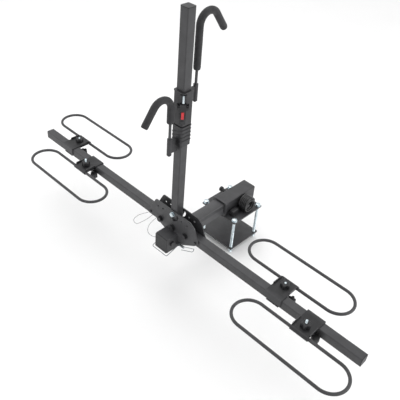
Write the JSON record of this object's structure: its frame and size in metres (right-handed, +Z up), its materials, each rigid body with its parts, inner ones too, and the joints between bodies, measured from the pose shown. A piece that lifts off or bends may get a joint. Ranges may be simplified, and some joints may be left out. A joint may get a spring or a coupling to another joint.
{
  "type": "hitch mounted bike rack",
  "caption": "Platform bike rack with a folding mast, ratchet hooks, sliding wheel hoops, a tilting joint and a receiver clamped to a bumper.",
  "frame": {"origin": "centre of the upper clamp plate's underside, which rests on the bumper", "axes": "+X along the cross beam, +Y towards the vehicle, +Z up"},
  "size_m": [1.7476, 0.6311, 1.0922],
  "materials": {
    "black_powder_coat": "satin powder coat, fine grain",
    "zinc_steel": "bright zinc plate",
    "bright_wire": "zinc plate",
    "lanyard_wire": "stranded wire",
    "foam": "matt closed-cell foam",
    "red_plastic": "gloss",
    "black_plastic": "moulded",
    "cable_vinyl": "smooth vinyl sleeve",
    "ratchet_plastic": "moulded, ribbed",
    "black_steel": "black oxide"
  },
  "bodies": {
    "adapter": {"receiver_tube": "black_powder_coat", "upper_clamp_plate": "black_powder_coat", "clamp_bolts": "zinc_steel", "clamp_washers": "zinc_steel", "shank": "black_powder_coat", "lock_cable_coil": "cable_vinyl", "cable_padlock": "black_steel"},
    "lower_clamp": {"lower_clamp_plate": "black_powder_coat", "clamp_nuts": "zinc_steel"},
    "hitch_pin": {"hitch_pin": "black_steel"},
    "platform": {"tilt_channel": "black_powder_coat", "channel_cap": "black_plastic", "front_plate": "black_powder_coat", "back_plate": "black_powder_coat", "left_arm": "black_powder_coat", "right_arm": "black_powder_coat", "arm_end_caps": "black_plastic", "bracket_bolts": "black_steel", "bracket_nuts": "black_steel", "tilt_pivot_bolt": "black_steel", "lock_pin": "bright_wire", "hairpin_clip": "bright_wire", "left_lanyard": "lanyard_wire", "right_lanyard": "lanyard_wire", "mast_pivot_bolt": "zinc_steel"},
    "wire_bail": {"wire_bail": "bright_wire"},
    "mast": {"mast": "black_powder_coat", "mast_cap": "black_plastic", "mast_guide_bolt": "black_steel"},
    "upper_ratchet": {"upper_sleeve": "ratchet_plastic", "upper_latch_post": "zinc_steel"},
    "upper_latch": {"upper_latch_lever": "black_plastic"},
    "upper_button": {"upper_latch_button": "red_plastic"},
    "upper_hook": {"upper_hook": "black_powder_coat", "upper_hook_foam": "foam"},
    "lower_ratchet": {"lower_sleeve": "ratchet_plastic"},
    "lower_latch": {"lower_latch_lever": "black_plastic"},
    "lower_hook": {"lower_hook": "black_powder_coat", "lower_hook_foam": "foam"},
    "left_far_carrier": {"left_far_saddle": "black_steel", "left_far_jaw": "black_steel", "left_far_bolt": "zinc_steel", "left_far_hoop": "black_powder_coat"},
    "left_far_knob": {"left_far_knob": "black_plastic"},
    "left_near_carrier": {"left_near_saddle": "black_steel", "left_near_jaw": "black_steel", "left_near_bolt": "zinc_steel", "left_near_hoop": "black_powder_coat"},
    "left_near_knob": {"left_near_knob": "black_plastic"},
    "right_far_carrier": {"right_far_saddle": "black_steel", "right_far_jaw": "black_steel", "right_far_bolt": "zinc_steel", "right_far_hoop": "black_powder_coat"},
    "right_far_knob": {"right_far_knob": "black_plastic"},
    "right_near_carrier": {"right_near_saddle": "black_steel", "right_near_jaw": "black_steel", "right_near_bolt": "zinc_steel", "right_near_hoop": "black_powder_coat"},
    "right_near_knob": {"right_near_knob": "black_plastic"}
  },
  "joints": [
    {"name": "clamp_slide", "type": "slide", "parent": "adapter", "child": "lower_clamp", "axis": [0, 0, 1], "range_m": [0, 0.1]},
    {"name": "pin_slide", "type": "slide", "parent": "adapter", "child": "hitch_pin", "axis": [-1, 0, 0], "range_m": [0, 0.115]},
    {"name": "tilt", "type": "hinge", "parent": "adapter", "child": "platform", "pos_m": [0, -0.382, 0.03775], "axis": [1, 0, 0], "range_deg": [0, 35]},
    {"name": "bail_swing", "type": "hinge", "parent": "platform", "child": "wire_bail", "pos_m": [0, -0.351, 0.02025], "axis": [1, 0, 0], "range_deg": [-20, 70]},
    {"name": "mast_fold", "type": "hinge", "parent": "platform", "child": "mast", "pos_m": [0, -0.332, 0.14725], "axis": [0, 1, 0], "range_deg": [-90, 0]},
    {"name": "upper_ratchet_slide", "type": "slide", "parent": "mast", "child": "upper_ratchet", "axis": [0, 0, 1], "range_m": [0, 0.24]},
    {"name": "upper_latch_lift", "type": "hinge", "parent": "upper_ratchet", "child": "upper_latch", "pos_m": [0.02581, -0.35781, 0.60925], "axis": [-0.7071, -0.7071, 0], "range_deg": [0, 25]},
    {"name": "upper_button_press", "type": "slide", "parent": "upper_latch", "child": "upper_button", "axis": [-0.7071, 0.7071, 0], "range_m": [0, 0.002], "stiffness_N_per_m": 300, "springref_m": -0.001},
    {"name": "upper_hook_swing", "type": "hinge", "parent": "upper_ratchet", "child": "upper_hook", "pos_m": [0, -0.278, 0.62925], "axis": [0, 0, 1], "range_deg": [-120, 0]},
    {"name": "lower_ratchet_slide", "type": "slide", "parent": "mast", "child": "lower_ratchet", "axis": [0, 0, 1], "range_m": [-0.17, 0]},
    {"name": "lower_latch_lift", "type": "hinge", "parent": "lower_ratchet", "child": "lower_latch", "pos_m": [-0.02581, -0.30619, 0.49375], "axis": [0.7071, 0.7071, 0], "range_deg": [0, 25]},
    {"name": "lower_hook_swing", "type": "hinge", "parent": "lower_ratchet", "child": "lower_hook", "pos_m": [0, -0.386, 0.46025], "axis": [0, 0, 1], "range_deg": [0, 75]},
    {"name": "left_far_slide", "type": "slide", "parent": "platform", "child": "left_far_carrier", "axis": [1, 0, 0], "range_m": [-0.11, 0.04]},
    {"name": "left_far_knob_turn", "type": "hinge", "parent": "left_far_carrier", "child": "left_far_knob", "pos_m": [-0.671, -0.288, 0.11225], "axis": [0, 0, 1], "continuous": true},
    {"name": "left_near_slide", "type": "slide", "parent": "platform", "child": "left_near_carrier", "axis": [1, 0, 0], "range_m": [-0.04, 0.1]},
    {"name": "left_near_knob_turn", "type": "hinge", "parent": "left_near_carrier", "child": "left_near_knob", "pos_m": [-0.505, -0.376, 0.11225], "axis": [0, 0, 1], "continuous": true},
    {"name": "right_far_slide", "type": "slide", "parent": "platform", "child": "right_far_carrier", "axis": [1, 0, 0], "range_m": [-0.15, 0.035]},
    {"name": "right_far_knob_turn", "type": "hinge", "parent": "right_far_carrier", "child": "right_far_knob", "pos_m": [0.486, -0.288, 0.11225], "axis": [0, 0, 1], "continuous": true},
    {"name": "right_near_slide", "type": "slide", "parent": "platform", "child": "right_near_carrier", "axis": [1, 0, 0], "range_m": [-0.035, 0.14]},
    {"name": "right_near_knob_turn", "type": "hinge", "parent": "right_near_carrier", "child": "right_near_knob", "pos_m": [0.636, -0.376, 0.11225], "axis": [0, 0, 1], "continuous": true}
  ]
}
